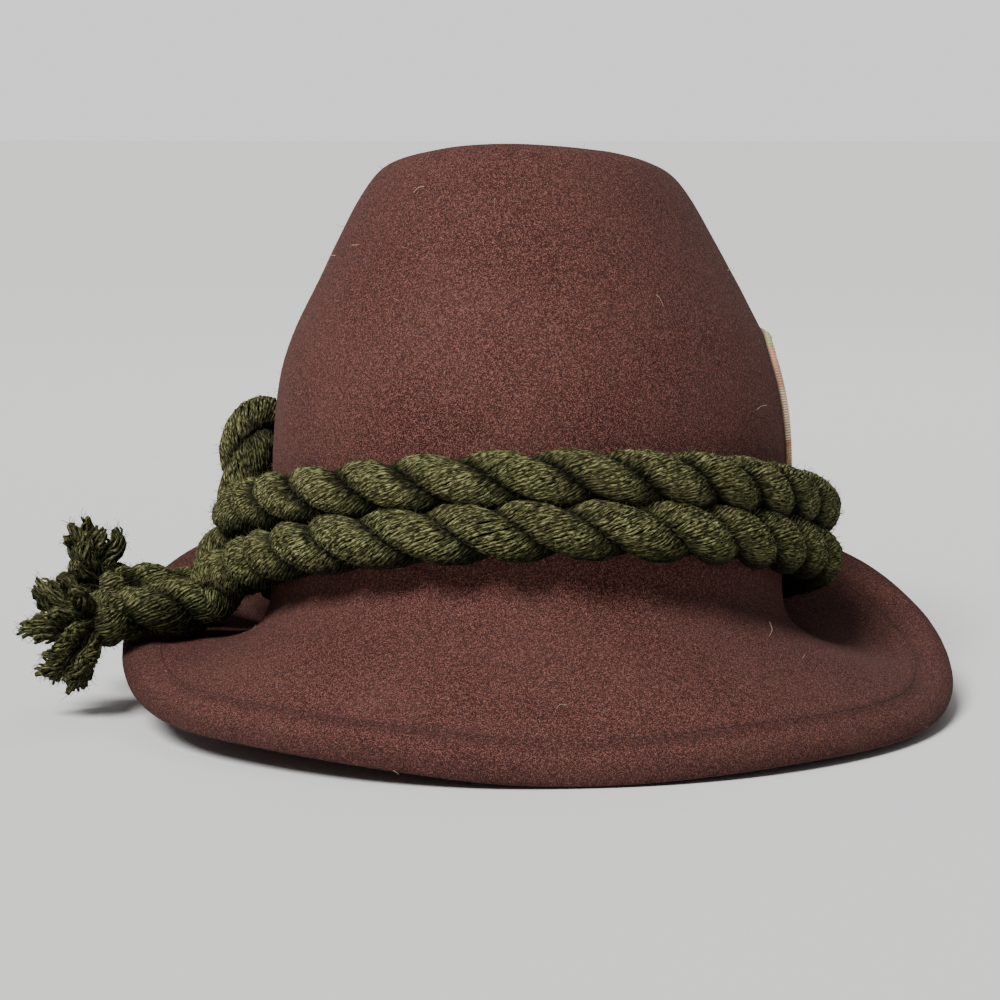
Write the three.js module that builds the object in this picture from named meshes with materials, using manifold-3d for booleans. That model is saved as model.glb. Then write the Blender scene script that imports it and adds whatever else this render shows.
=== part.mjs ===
import * as THREE from 'three';
import { mergeVertices } from 'three/addons/utils/BufferGeometryUtils.js';
import Module from 'manifold-3d';

// Tyrolean hat of pressed wool felt. Millimetres, +Z up, the front of the hat faces -Y.
// It stands on its front brim edge and on the fold at its back, as it would on a table.
// Turns round the hat are in degrees: 0 is the front, 90 is the +X side, 180 is the back.

const wasm = await Module();
wasm.setup();

// Driving dimensions
const crownHalfWidth = 81.5;
const crownHalfLength = 101;
const crownHeight = 137.5;
const crownSway = -4;
const feltThickness = 2.5;
const dentDepth = 11;
const dentHalfWidth = 30;
const dentHalfLength = 56;
const wallFoot = 6;
const brimReach = 50;
const brimDrop = 51;
const brimTurnUp = 38;
const brimSway = 8;
const brimWideSide = 5.5;
const brimWideTurn = 85;
const brimWideSpread = 90;
const tailDip = 3;
const tailTurn = -95;
const tailSpread = 60;
const hemWidth = 10;
const restFlat = 2;
const clearance = 0.4;
const cordDiameter = 18;
const plyDiameter = 11;
const cordPitch = 38;
const cordSpacing = 15.8;
const cordFoot = 1.8;
const cordLift = 8.5;
const cordLiftTurn = 30;
const tasselLength = 23;
const tasselHead = 17;
const patchWidth = 46;
const patchHeight = 52;
const patchThickness = 1.6;
const patchCorner = 12;
const patchTurn = 93;
const patchTuck = 2.5;
const patchClearance = 0.55;

// Fineness of the faceted surfaces
const turnSteps = 44;
const plySides = 8;
const stepsPerPitch = 8;
const fewestCordSteps = 4;
const lockSides = 5;
const lockFrames = 20;
const headSides = 10;
const headRings = 7;
const patchAcross = 7;
const patchDown = 9;
const mergeTolerance = 1e-4;

const cordRadius = cordDiameter / 2;
const lowerWrapRise = cordFoot + cordRadius;
const upperWrapRise = lowerWrapRise + cordSpacing;

// Crown sections from the foot of the wall to the middle of the top, as shares of the crown's
// height, half width, half length and sideways sway
const crownSections = [
  { rise: 0.000, side: 0.978, end: 0.990, sway: 0.60 },
  { rise: 0.180, side: 0.994, end: 0.998, sway: 0.50 },
  { rise: 0.340, side: 1.004, end: 0.992, sway: 0.36 },
  { rise: 0.480, side: 0.984, end: 0.970, sway: 0.46 },
  { rise: 0.580, side: 0.946, end: 0.938, sway: 0.56 },
  { rise: 0.680, side: 0.862, end: 0.896, sway: 0.66 },
  { rise: 0.780, side: 0.782, end: 0.848, sway: 0.76 },
  { rise: 0.870, side: 0.706, end: 0.796, sway: 0.86 },
  { rise: 0.935, side: 0.645, end: 0.742, sway: 0.92 },
  { rise: 0.975, side: 0.598, end: 0.696, sway: 0.96 },
  { rise: 0.995, side: 0.552, end: 0.630, sway: 0.98 },
  { rise: 1.006, side: 0.430, end: 0.500, sway: 1.00 },
  { rise: 1.010, side: 0.225, end: 0.280, sway: 1.00 },
];

// Brim edge and bend by turn: reach as a share of brimReach, rise as a share of brimDrop where
// the edge is low and of brimTurnUp where it is high, foot (how far the felt runs on down before it
// bends out, in wall feet), and the slope in degrees at which the felt arrives at the edge
const brimSections = [
  { turn: 0, reach: 0.79, rise: -1.010, foot: 2.24, slope: -58 },
  { turn: 30, reach: 0.91, rise: -0.840, foot: 2.24, slope: -51 },
  { turn: 60, reach: 0.98, rise: -0.610, foot: 2.66, slope: -37 },
  { turn: 90, reach: 0.87, rise: -0.055, foot: 4.20, slope: 8 },
  { turn: 120, reach: 0.77, rise: 0.630, foot: 5.04, slope: 40 },
  { turn: 150, reach: 0.73, rise: 0.860, foot: 5.46, slope: 66 },
  { turn: 180, reach: 0.72, rise: 0.980, foot: 5.46, slope: 74 },
];

// Share of the felt's straight run from wall to edge over which it bends, and what steep felt adds
const bendShare = 0.5;
const steepShare = 0.2;

// Shares of the brim's profile at which the felt has a ring of points, before the hem begins
const brimShares = [0.12, 0.24, 0.38, 0.54, 0.70];

// Cord routes off the ring, chosen by hand: turn in degrees, and in cord radii off (distance of
// the cord's middle from the crown's wall) and rise over the brim's break or over the brim itself
const upperTailRoute = [
  { turn: -82.2, off: 1.03, rise: 2.933 },
  { turn: -85.5, off: 1.14, rise: 2.644 },
  { turn: -88.5, off: 1.65, rise: 1.822 },
  { turn: -88, off: 2.35, overBrim: 0.089 },
  { turn: -85.2, off: 3.25, overBrim: 0.000 },
  { turn: -83, off: 4.30, overBrim: 0.044 },
  { turn: -82, off: 5.25, overBrim: 0.067 },
];
const lowerTailRoute = [
  { turn: -68.4, off: 1.08, rise: 1.200 },
  { turn: -72.4, off: 1.20, rise: 1.111 },
  { turn: -76, off: 1.62, rise: 0.978 },
  { turn: -76.8, off: 2.35, overBrim: 0.089 },
  { turn: -75.5, off: 3.20, overBrim: 0.044 },
  { turn: -73.6, off: 4.25, overBrim: 0.067 },
  { turn: -72.4, off: 5.20, overBrim: 0.067 },
];
const loopRoute = [
  { turn: -109.6, off: 1.04, rise: 1.222 },
  { turn: -104, off: 1.04, rise: 1.444 },
  { turn: -100.5, off: 1.08, rise: 2.333 },
  { turn: -99, off: 1.08, rise: 3.889 },
  { turn: -100, off: 1.08, rise: 5.667 },
  { turn: -105.5, off: 1.10, rise: 6.667 },
  { turn: -112, off: 1.10, rise: 6.222 },
  { turn: -116.5, off: 1.08, rise: 4.778 },
  { turn: -122, off: 1.06, rise: 3.444 },
  { turn: -129.4, off: 1.05, rise: 2.889 },
];
const upperWrapEnds = { from: -80, to: 229 };
const lowerWrapEnds = { from: -67, to: 247.8 };
const lowerWrapPhase = 0.25;

// Locks of the two frayed ends: side and lift in degrees from straight outward, length and
// width as shares of the tassel's length and head
const upperLocks = [
  { side: -8, lift: 104, length: 0.86, width: 0.46 },
  { side: 22, lift: 80, length: 0.92, width: 0.48 },
  { side: -34, lift: 66, length: 0.84, width: 0.46 },
  { side: 10, lift: 48, length: 0.98, width: 0.50 },
  { side: -24, lift: 26, length: 0.92, width: 0.48 },
  { side: 24, lift: 18, length: 0.94, width: 0.48 },
  { side: -50, lift: 0, length: 0.80, width: 0.44 },
];
const lowerLocks = [
  { side: 6, lift: 34, length: 1.00, width: 0.48 },
  { side: 42, lift: 26, length: 0.92, width: 0.46 },
  { side: 0, lift: 8, length: 1.10, width: 0.50 },
  { side: 30, lift: -4, length: 1.06, width: 0.50 },
  { side: -8, lift: -18, length: 1.06, width: 0.50 },
  { side: 52, lift: -22, length: 0.92, width: 0.46 },
  { side: 22, lift: -38, length: 1.00, width: 0.48 },
  { side: -6, lift: -50, length: 0.96, width: 0.46 },
  { side: 30, lift: -72, length: 0.84, width: 0.42 },
];

// Section of a lock along its length, as shares of its length and width, where it bends and how
// far it arches there
const lockSections = [
  { along: 0.00, width: 0.85 },
  { along: 0.30, width: 1.00 },
  { along: 0.60, width: 0.80 },
  { along: 0.85, width: 0.40 },
];
const lockBend = 0.6;
const lockArch = 0.08;

const materials = {
  felt: { color: 0x63423c, roughness: 0.95, metalness: 0 },
  cord: { color: 0x403b24, roughness: 0.95, metalness: 0 },
  wool: { color: 0x37361a, roughness: 0.95, metalness: 0 },
  patch: { color: 0xc1a888, roughness: 0.8, metalness: 0 },
};

// Smooth value of one column of a table at a place given by another column
function tableValue(rows, key, column, at) {
  let i = 0;
  while (i < rows.length - 2 && at > rows[i + 1][key]) i += 1;
  const before = rows[Math.max(i - 1, 0)];
  const low = rows[i];
  const high = rows[i + 1];
  const after = rows[Math.min(i + 2, rows.length - 1)];
  const span = high[key] - low[key];
  const t = (at - low[key]) / span;
  const lowSlope = (high[column] - before[column]) / (high[key] - before[key]) * span;
  const highSlope = (after[column] - low[column]) / (after[key] - low[key]) * span;
  const t2 = t * t;
  const t3 = t2 * t;
  return (2 * t3 - 3 * t2 + 1) * low[column] + (t3 - 2 * t2 + t) * lowSlope
    + (3 * t2 - 2 * t3) * high[column] + (t3 - t2) * highSlope;
}

// Closed surface through rings of equal count, with a fan to a point at each end
function loft(rings, firstPole, lastPole) {
  const count = rings[0].length;
  const points = [firstPole, ...rings.flat(), lastPole];
  const last = points.length - 1;
  const at = (ring, step) => 1 + ring * count + step % count;
  const index = [];
  for (let j = 0; j < count; j += 1) {
    index.push(0, at(0, j), at(0, j + 1));
    for (let i = 0; i < rings.length - 1; i += 1) {
      index.push(at(i, j), at(i + 1, j), at(i + 1, j + 1));
      index.push(at(i, j), at(i + 1, j + 1), at(i, j + 1));
    }
    index.push(last, at(rings.length - 1, j + 1), at(rings.length - 1, j));
  }
  const geometry = new THREE.BufferGeometry().setFromPoints(points);
  geometry.setIndex(index);
  geometry.computeVertexNormals();
  return geometry;
}

// Point of the crown at a turn on a level oval section, given by a row of shares
function ovalPoint(turn, row) {
  const angle = THREE.MathUtils.degToRad(turn);
  const x = crownHalfWidth * row.side * Math.sin(angle) + crownSway * row.sway;
  return new THREE.Vector3(x, -crownHalfLength * row.end * Math.cos(angle), crownHeight * row.rise);
}

// Level direction straight out of the crown's foot at a turn
function outward(turn) {
  const angle = THREE.MathUtils.degToRad(turn);
  return new THREE.Vector3(Math.sin(angle) / crownHalfWidth, -Math.cos(angle) / crownHalfLength, 0)
    .normalize();
}

// Outer point of the crown at a rise over the break
function wallPoint(turn, z) {
  const rise = Math.max(z, 0) / crownHeight;
  const value = (column) => tableValue(crownSections, 'rise', column, rise);
  return ovalPoint(turn, { rise, side: value('side'), end: value('end'), sway: value('sway') });
}

// Point at a distance from the crown's wall, along the wall's own normal
function offWall(turn, z, distance) {
  const point = wallPoint(turn, z);
  const along = wallPoint(turn + 1, z).sub(wallPoint(turn - 1, z));
  const up = wallPoint(turn, z + 1).sub(wallPoint(turn, Math.max(z - 1, 0)));
  return point.addScaledVector(along.cross(up).normalize(), distance);
}

// Cosine bump: 1 at a turn, fading to 0 at a spread of degrees on either side of it
function bumpAt(turn, middle, spread) {
  const from = THREE.MathUtils.euclideanModulo(turn - middle + 180, 360) - 180;
  return Math.abs(from) < spread ? Math.cos(from / spread * Math.PI / 2) ** 2 : 0;
}

// Row of the brim's table at a turn, the same on both sides of the brim's lowest point, with the
// wider side and the dip under the cord's tails added
function brimSection(turn) {
  const at = Math.abs(THREE.MathUtils.euclideanModulo(turn - brimSway + 180, 360) - 180);
  const value = (column) => tableValue(brimSections, 'turn', column, at);
  const rise = value('rise');
  const wider = brimWideSide * bumpAt(turn, brimWideTurn, brimWideSpread);
  const dip = tailDip * bumpAt(turn, tailTurn, tailSpread);
  return {
    reach: value('reach') * brimReach + wider,
    rise: rise * (rise < 0 ? brimDrop : brimTurnUp) - dip,
    foot: value('foot') * wallFoot,
    slope: THREE.MathUtils.degToRad(value('slope')),
  };
}

// Brim profile at a turn: distance from the wall and rise, from the foot of the wall to the edge
function brimCurve(turn) {
  const row = brimSection(turn);
  const start = new THREE.Vector2(0, wallFoot);
  const edge = new THREE.Vector2(row.reach, row.rise);
  const steep = Math.max(0, Math.sin(row.slope));
  const bendLength = start.distanceTo(edge) * (bendShare + steepShare * steep);
  const arrive = new THREE.Vector2(Math.cos(row.slope), Math.sin(row.slope));
  const bendEnd = edge.clone().addScaledVector(arrive, -bendLength);
  return new THREE.CubicBezierCurve(start, new THREE.Vector2(0, wallFoot - row.foot), bendEnd, edge);
}

function brimPoint(turn, share) {
  const flat = brimCurve(turn).getPoint(share);
  return wallPoint(turn, wallFoot).setZ(flat.y).addScaledVector(outward(turn), flat.x);
}

// Shallow teardrop dent along the middle of the crown's top
function dentAt(point) {
  const across = point.x / dentHalfWidth;
  const along = point.y / dentHalfLength;
  const inside = Math.max(0, 1 - across * across - along * along);
  return dentDepth * inside * inside;
}

function topPoint(turn, row) {
  const point = ovalPoint(turn, row);
  point.z -= dentAt(point);
  return point;
}

// Outer surface of the felt as rings of points, from the middle of the top to the brim's edge
function outerRings() {
  const turns = Array.from({ length: turnSteps }, (unused, step) => 360 * step / turnSteps);
  const crownRows = crownSections.slice(1).reverse();
  const crown = crownRows.map((row) => turns.map((turn) => topPoint(turn, row)));
  const foot = turns.map((turn) => brimPoint(turn, 0));
  const brim = brimShares.map((share) => turns.map((turn) => brimPoint(turn, share)));
  const hemStart = turns.map((turn) => brimPoint(turn, hemShare(turn)));
  const edge = turns.map((turn) => brimPoint(turn, 1));
  return [...crown, foot, ...brim, hemStart, edge];
}

// Share of the brim's profile at which the turned-under hem begins
function hemShare(turn) {
  return 1 - hemWidth / brimCurve(turn).getLength();
}

// Normal of the outer surface at each point of its rings
function ringNormals(rings) {
  const count = rings[0].length;
  return rings.map((ring, i) => ring.map((point, j) => {
    const inner = rings[Math.max(i - 1, 0)][j];
    const outer = rings[Math.min(i + 1, rings.length - 1)][j];
    const down = outer.clone().sub(inner);
    const along = ring[(j + 1) % count].clone().sub(ring[(j + count - 1) % count]);
    return down.cross(along).normalize();
  }));
}

function shifted(ring, normals, distance) {
  return ring.map((point, j) => point.clone().addScaledVector(normals[j], distance));
}

// Crown and brim as one skin of felt: outer rings down to the edge, round the edge, and back
// under the hem and up inside the crown
function feltRings() {
  const outer = outerRings();
  const normals = ringNormals(outer);
  const last = outer.length - 1;
  const edgeOut = outer[last].map((point, j) => point.clone().sub(outer[last - 1][j]).normalize());
  const middle = shifted(outer[last], normals[last], -feltThickness);
  const round = middle.map((point, j) => point.addScaledVector(edgeOut[j], feltThickness));
  const hemEdge = shifted(outer[last], normals[last], -2 * feltThickness);
  const hemInner = shifted(outer[last - 1], normals[last - 1], -2 * feltThickness);
  const under = [];
  for (let i = last - 1; i >= 0; i -= 1) {
    under.push(shifted(outer[i], normals[i], -feltThickness));
  }
  return [...outer, round, hemEdge, hemInner, ...under];
}

// Lean of the hat: the line from its lowest point at the front to its lowest at the back, found
// again as the hat leans
function restingPlane(rings) {
  const points = rings.flat();
  const frontHalf = points.filter((point) => point.y < 0);
  const backHalf = points.filter((point) => point.y > 0);
  const tries = 6;
  const up = new THREE.Vector3(0, 0, 1);
  const lowest = (some) => some.reduce((a, b) => (b.dot(up) < a.dot(up) ? b : a));
  let lean = 0;
  for (let i = 0; i < tries; i += 1) {
    const front = lowest(frontHalf);
    const back = lowest(backHalf);
    lean = Math.atan2(back.z - front.z, back.y - front.y);
    up.set(0, -Math.sin(lean), Math.cos(lean));
  }
  return { lean, up, floor: lowest(points).dot(up) + restFlat };
}

// Felt that would reach below the floor is pressed flat on it
function pressFlat(rings, plane) {
  rings.flat().forEach((point) => {
    const under = plane.floor - point.dot(plane.up);
    if (under > 0) point.addScaledVector(plane.up, under);
  });
}

function feltBody(rings) {
  const top = topPoint(0, { ...crownSections.at(-1), side: 0, end: 0 });
  const inside = top.clone().setZ(top.z - feltThickness);
  return loft(rings, top, inside);
}

// Two plies side by side: distance from the cord's middle to its surface in a direction
function plySurface(angle) {
  const plyRadius = plyDiameter / 2;
  const plyOffset = cordRadius - plyRadius;
  const off = plyOffset * Math.sin(angle);
  return plyOffset * Math.abs(Math.cos(angle)) + Math.sqrt(plyRadius * plyRadius - off * off);
}

// Twisted two-ply cord along a curve, right-handed, its plies starting at a given angle
function twistedCord(curve, startAngle) {
  const length = curve.getLength();
  const steps = Math.max(fewestCordSteps, Math.round(length / cordPitch * stepsPerPitch));
  const frames = curve.computeFrenetFrames(steps, false);
  const rings = [];
  for (let i = 0; i <= steps; i += 1) {
    const middle = curve.getPointAt(i / steps);
    const twist = startAngle + 2 * Math.PI * (length * i / steps) / cordPitch;
    const ring = [];
    for (let j = 0; j < plySides; j += 1) {
      const angle = -2 * Math.PI * j / plySides;
      const reach = plySurface(angle);
      ring.push(middle.clone()
        .addScaledVector(frames.normals[i], reach * Math.cos(angle + twist))
        .addScaledVector(frames.binormals[i], reach * Math.sin(angle + twist)));
    }
    rings.push(ring);
  }
  return loft(rings, curve.getPointAt(0), curve.getPointAt(1));
}

// Rise of a ring of the cord at a turn: both rings are pulled up a little near the front
function wrapRise(turn, rise) {
  const nearLift = 0.5 + 0.5 * Math.cos(THREE.MathUtils.degToRad(turn - cordLiftTurn));
  return rise + cordLift * nearLift * nearLift;
}

// Ring of the cord round the crown between two turns
class WrapCurve extends THREE.Curve {
  constructor(ends, rise) {
    super();
    this.ends = ends;
    this.rise = rise;
  }

  getPoint(share, target = new THREE.Vector3()) {
    const turn = this.ends.from + (this.ends.to - this.ends.from) * share;
    const point = wallPoint(turn, wrapRise(turn, this.rise));
    return target.copy(point.addScaledVector(outward(turn), cordRadius + clearance));
  }
}

// Twisted ring whose plies lie in step with the other ring, a share of a full turn apart
function wrapCord(ends, rise, shareApart) {
  const lead = new WrapCurve({ from: upperWrapEnds.from, to: ends.from }, rise).getLength();
  return twistedCord(new WrapCurve(ends, rise), 2 * Math.PI * (shareApart + lead / cordPitch));
}

// Height of the brim's upper side at a distance from the wall
function brimHeight(turn, distance) {
  const curve = brimCurve(turn);
  const halvings = 24;
  let low = 0;
  let high = 1;
  for (let i = 0; i < halvings; i += 1) {
    const middle = (low + high) / 2;
    if (curve.getPoint(middle).x < distance) low = middle;
    else high = middle;
  }
  return curve.getPoint(low).y;
}

function routePoint(row) {
  const off = row.off * cordRadius;
  if (row.overBrim === undefined) return offWall(row.turn, row.rise * cordRadius, off + clearance);
  const z = brimHeight(row.turn, off) + cordRadius * (1 + row.overBrim) + clearance;
  return wallPoint(row.turn, wallFoot).setZ(z).addScaledVector(outward(row.turn), off);
}

function routeCurve(route) {
  return new THREE.CatmullRomCurve3(route.map(routePoint), false, 'centripetal');
}

function toSolid(geometry) {
  const bare = geometry.clone().deleteAttribute('normal').deleteAttribute('uv');
  const merged = mergeVertices(bare, mergeTolerance);
  const vertProperties = new Float32Array(merged.attributes.position.array);
  const triVerts = new Uint32Array(merged.index.array);
  return new wasm.Manifold(new wasm.Mesh({ numProp: 3, vertProperties, triVerts }));
}

function toGeometry(solid) {
  const mesh = solid.getMesh();
  const geometry = new THREE.BufferGeometry();
  geometry.setAttribute('position', new THREE.BufferAttribute(mesh.vertProperties, 3));
  geometry.setIndex(new THREE.BufferAttribute(mesh.triVerts, 1));
  geometry.computeVertexNormals();
  return geometry;
}

// One lock of loose wool: a tapering horn that droops toward its tip
function woolLock(start, direction, length, width) {
  const tip = start.clone().addScaledVector(direction, length);
  const bend = start.clone().addScaledVector(direction, length * lockBend);
  bend.z += length * lockArch;
  const curve = new THREE.QuadraticBezierCurve3(start, bend, tip);
  const frames = curve.computeFrenetFrames(lockFrames, false);
  const rings = lockSections.map((row) => {
    const middle = curve.getPoint(row.along);
    const frame = Math.round(row.along * lockFrames);
    const radius = row.width * width / 2;
    return Array.from({ length: lockSides }, (unused, j) => {
      const angle = -2 * Math.PI * j / lockSides;
      return middle.clone()
        .addScaledVector(frames.normals[frame], radius * Math.cos(angle))
        .addScaledVector(frames.binormals[frame], radius * Math.sin(angle));
    });
  });
  return loft(rings, start, tip);
}

// Frayed cord end: a round head of wool with its locks joined to it
function tassel(route, locks) {
  const curve = routeCurve(route);
  const out = curve.getTangentAt(1);
  const side = new THREE.Vector3(0, 0, 1).cross(out).normalize();
  const up = out.clone().cross(side).normalize();
  const headRadius = tasselHead / 2;
  const middle = curve.getPointAt(1).addScaledVector(out, headRadius + clearance);
  const head = new THREE.SphereGeometry(headRadius, headSides, headRings).translate(middle.x, middle.y, middle.z);
  let solid = toSolid(head);
  for (const lock of locks) {
    const turnSide = THREE.MathUtils.degToRad(lock.side);
    const turnUp = THREE.MathUtils.degToRad(lock.lift);
    const direction = out.clone().multiplyScalar(Math.cos(turnSide) * Math.cos(turnUp))
      .addScaledVector(side, Math.sin(turnSide) * Math.cos(turnUp))
      .addScaledVector(up, Math.sin(turnUp));
    const horn = woolLock(middle.clone(), direction, lock.length * tasselLength, lock.width * tasselHead);
    solid = solid.add(toSolid(horn));
  }
  return toGeometry(solid);
}

// Thin fabric patch that follows the crown's side, with rounded corners; its lower end tucks in
// behind the upper ring of the cord
function sidePatch() {
  const frontTurn = patchTurn - THREE.MathUtils.radToDeg(patchWidth / 2 / crownHalfLength);
  const bottom = wrapRise(frontTurn, upperWrapRise) + cordRadius - patchTuck;
  const endShare = 1 / (4 * patchDown);
  const rings = [];
  for (let i = 0; i <= patchDown; i += 1) {
    const down = endShare + (1 - 2 * endShare) * i / patchDown;
    const z = bottom + patchHeight * (0.5 - 0.5 * Math.cos(Math.PI * down));
    const fromEnd = Math.min(z - bottom, bottom + patchHeight - z);
    const cut = Math.max(0, patchCorner - fromEnd);
    const halfWidth = patchWidth / 2 - patchCorner + Math.sqrt(patchCorner * patchCorner - cut * cut);
    const outer = [];
    const inner = [];
    for (let j = 0; j < patchAcross; j += 1) {
      const arc = halfWidth * (2 * j / (patchAcross - 1) - 1);
      const turn = patchTurn + THREE.MathUtils.radToDeg(arc / crownHalfLength);
      outer.push(offWall(turn, z, patchClearance + patchThickness));
      inner.push(offWall(turn, z, patchClearance));
    }
    rings.push([...inner, ...outer.reverse()]);
  }
  const poleAt = (ring) => ring.reduce((sum, point) => sum.add(point), new THREE.Vector3())
    .divideScalar(ring.length);
  return loft(rings, poleAt(rings[0]), poleAt(rings.at(-1)));
}

function addPiece(group, name, geometry, material) {
  const mesh = new THREE.Mesh(geometry, new THREE.MeshStandardMaterial(material));
  mesh.name = name;
  group.add(mesh);
}

const feltSkin = feltRings();
const plane = restingPlane(feltSkin);
pressFlat(feltSkin, plane);

const hat = new THREE.Group();
addPiece(hat, 'felt_body', feltBody(feltSkin), materials.felt);
addPiece(hat, 'cord_wrap_upper', wrapCord(upperWrapEnds, upperWrapRise, 0), materials.cord);
addPiece(hat, 'cord_wrap_lower', wrapCord(lowerWrapEnds, lowerWrapRise, lowerWrapPhase), materials.cord);
addPiece(hat, 'cord_loop', twistedCord(routeCurve(loopRoute), 0), materials.cord);
addPiece(hat, 'cord_tail_upper', twistedCord(routeCurve(upperTailRoute), 0), materials.cord);
addPiece(hat, 'cord_tail_lower', twistedCord(routeCurve(lowerTailRoute), 0), materials.cord);
addPiece(hat, 'tassel_upper', tassel(upperTailRoute, upperLocks), materials.wool);
addPiece(hat, 'tassel_lower', tassel(lowerTailRoute, lowerLocks), materials.wool);
addPiece(hat, 'side_patch', sidePatch(), materials.patch);

// The hat leans back onto its fold and stands with the middle of its base at the origin
hat.rotation.x = -plane.lean;
const model = new THREE.Group();
model.add(hat);
model.updateMatrixWorld(true);
const box = new THREE.Box3().setFromObject(model, true);
model.position.set(-(box.min.x + box.max.x) / 2, -(box.min.y + box.max.y) / 2, -box.min.z);
model.updateMatrixWorld(true);

export default model;
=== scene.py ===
from math import cos, pi, radians, sin

import bmesh
import bpy
import numpy as np
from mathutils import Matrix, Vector, noise
from mathutils.bvhtree import BVHTree
from mathutils.kdtree import KDTree


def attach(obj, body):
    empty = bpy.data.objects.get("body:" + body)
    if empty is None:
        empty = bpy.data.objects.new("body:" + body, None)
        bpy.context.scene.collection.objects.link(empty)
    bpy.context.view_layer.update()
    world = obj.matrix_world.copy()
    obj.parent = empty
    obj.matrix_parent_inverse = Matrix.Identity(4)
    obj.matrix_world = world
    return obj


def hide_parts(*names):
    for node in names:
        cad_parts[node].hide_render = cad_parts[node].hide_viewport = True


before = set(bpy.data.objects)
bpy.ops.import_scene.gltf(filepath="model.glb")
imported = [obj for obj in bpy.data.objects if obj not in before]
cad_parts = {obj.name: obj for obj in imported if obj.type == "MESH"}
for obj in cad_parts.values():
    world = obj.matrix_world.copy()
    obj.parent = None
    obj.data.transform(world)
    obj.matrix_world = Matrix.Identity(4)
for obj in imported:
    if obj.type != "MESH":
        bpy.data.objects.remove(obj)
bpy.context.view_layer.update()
print("frame loaded")


view = {"distance": 1.0, "rise": 7.1, "turn": -3.5, "aside": 0.0016, "height": 0.0609,
        "zoom": 3.182}


def placeCamera():
    turn = radians(view["turn"])
    rise = radians(view["rise"])
    aim = Vector((cos(turn), -sin(turn), 0)) * view["aside"] + Vector((0, 0, view["height"]))
    ahead = Vector((sin(turn) * cos(rise), cos(turn) * cos(rise), -sin(rise)))
    data = bpy.data.cameras.new("camera")
    data.sensor_width = 36
    data.lens = 36 * view["zoom"] * view["distance"]
    data.clip_start = 0.05
    data.clip_end = 20
    camera = bpy.data.objects.new("camera", data)
    camera.location = aim - ahead * view["distance"]
    camera.rotation_euler = ahead.to_track_quat("-Z", "Y").to_euler()
    bpy.context.collection.objects.link(camera)
    bpy.context.scene.camera = camera


placeCamera()
print("camera placed")


class Wire:
    def __init__(self, look, socket):
        self.look = look
        self.socket = socket

    def maths(self, operation, first, second):
        return self.look.node("ShaderNodeMath", {"operation": operation}, {0: first, 1: second})

    def __add__(self, other):
        return self.maths("ADD", self, other)

    def __radd__(self, other):
        return self.maths("ADD", other, self)

    def __sub__(self, other):
        return self.maths("SUBTRACT", self, other)

    def __rsub__(self, other):
        return self.maths("SUBTRACT", other, self)

    def __mul__(self, other):
        return self.maths("MULTIPLY", self, other)

    def __rmul__(self, other):
        return self.maths("MULTIPLY", other, self)


class Look:
    def __init__(self, name):
        self.material = bpy.data.materials.new(name)
        self.material.use_nodes = True
        self.tree = self.material.node_tree
        self.tree.nodes.clear()

    def node(self, kind, settings=None, sockets=None, out=0):
        made = self.tree.nodes.new(kind)
        for key, value in (settings or {}).items():
            if key == "stops":
                ramp = made.color_ramp
                while len(ramp.elements) < len(value):
                    ramp.elements.new(0.5)
                for element, (place, colour) in zip(ramp.elements, value):
                    element.position = place
                    element.color = colour
            else:
                setattr(made, key, value)
        for key, value in (sockets or {}).items():
            if isinstance(value, Wire):
                self.tree.links.new(value.socket, made.inputs[key])
            else:
                made.inputs[key].default_value = value
        return Wire(self, made.outputs[out]) if len(made.outputs) else None

    def grain(self, size, detail=3.0, rough=0.55, where=None):
        spots = {"Vector": where or self.node("ShaderNodeTexCoord", out="Object"),
                 "Scale": 1 / size, "Detail": detail, "Roughness": rough}
        return self.node("ShaderNodeTexNoise", {"noise_dimensions": "3D"}, spots)

    def span(self, value, low, high, lowOut=0.0, highOut=1.0):
        ends = {"Value": value, "From Min": low, "From Max": high, "To Min": lowOut,
                "To Max": highOut}
        return self.node("ShaderNodeMapRange", {"clamp": True}, ends)

    def blendColour(self, share, first, second):
        return self.node("ShaderNodeMix", {"data_type": "RGBA", "clamp_factor": True},
                         {0: share, 6: first, 7: second}, out=2)

    def attribute(self, name, out="Fac"):
        return self.node("ShaderNodeAttribute", {"attribute_name": name}, out=out)

    def finish(self, sockets):
        shader = self.node("ShaderNodeBsdfPrincipled", None, sockets)
        self.node("ShaderNodeOutputMaterial", None, {"Surface": shader})
        return self.material


def paint(red, green, blue):
    # sRGB 0..255 to the linear colour that a socket takes
    shares = [value / 255 for value in (red, green, blue)]
    return tuple(share / 12.92 if share <= 0.04045 else ((share + 0.055) / 1.055) ** 2.4
                 for share in shares) + (1,)


def addPiece(name, mesh, material, slot, *nodes):
    piece = bpy.data.objects.new(name, mesh)
    bpy.context.collection.objects.link(piece)
    mesh.materials.clear()
    mesh.materials.append(material)
    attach(piece, "root")
    if nodes:
        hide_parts(*nodes)
    return piece


def bakeMesh(holder, name):
    # the holder's shape with its modifiers worked in, as a mesh of its own
    graph = bpy.context.evaluated_depsgraph_get()
    mesh = bpy.data.meshes.new_from_object(holder.evaluated_get(graph), depsgraph=graph)
    mesh.name = name
    bpy.data.objects.remove(holder)
    return mesh


def pointRows(mesh):
    places = np.empty(len(mesh.vertices) * 3)
    normals = np.empty(len(mesh.vertices) * 3)
    mesh.vertices.foreach_get("co", places)
    mesh.vertex_normals.foreach_get("vector", normals)
    return places.reshape(-1, 3), normals.reshape(-1, 3)


def markPoints(mesh, name, values):
    # one number for each point, which a material reads by its name
    mesh.attributes.new(name, "FLOAT", "POINT").data.foreach_set("value", values)


def smoothFaces(mesh):
    mesh.polygons.foreach_set("use_smooth", [True] * len(mesh.polygons))


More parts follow.
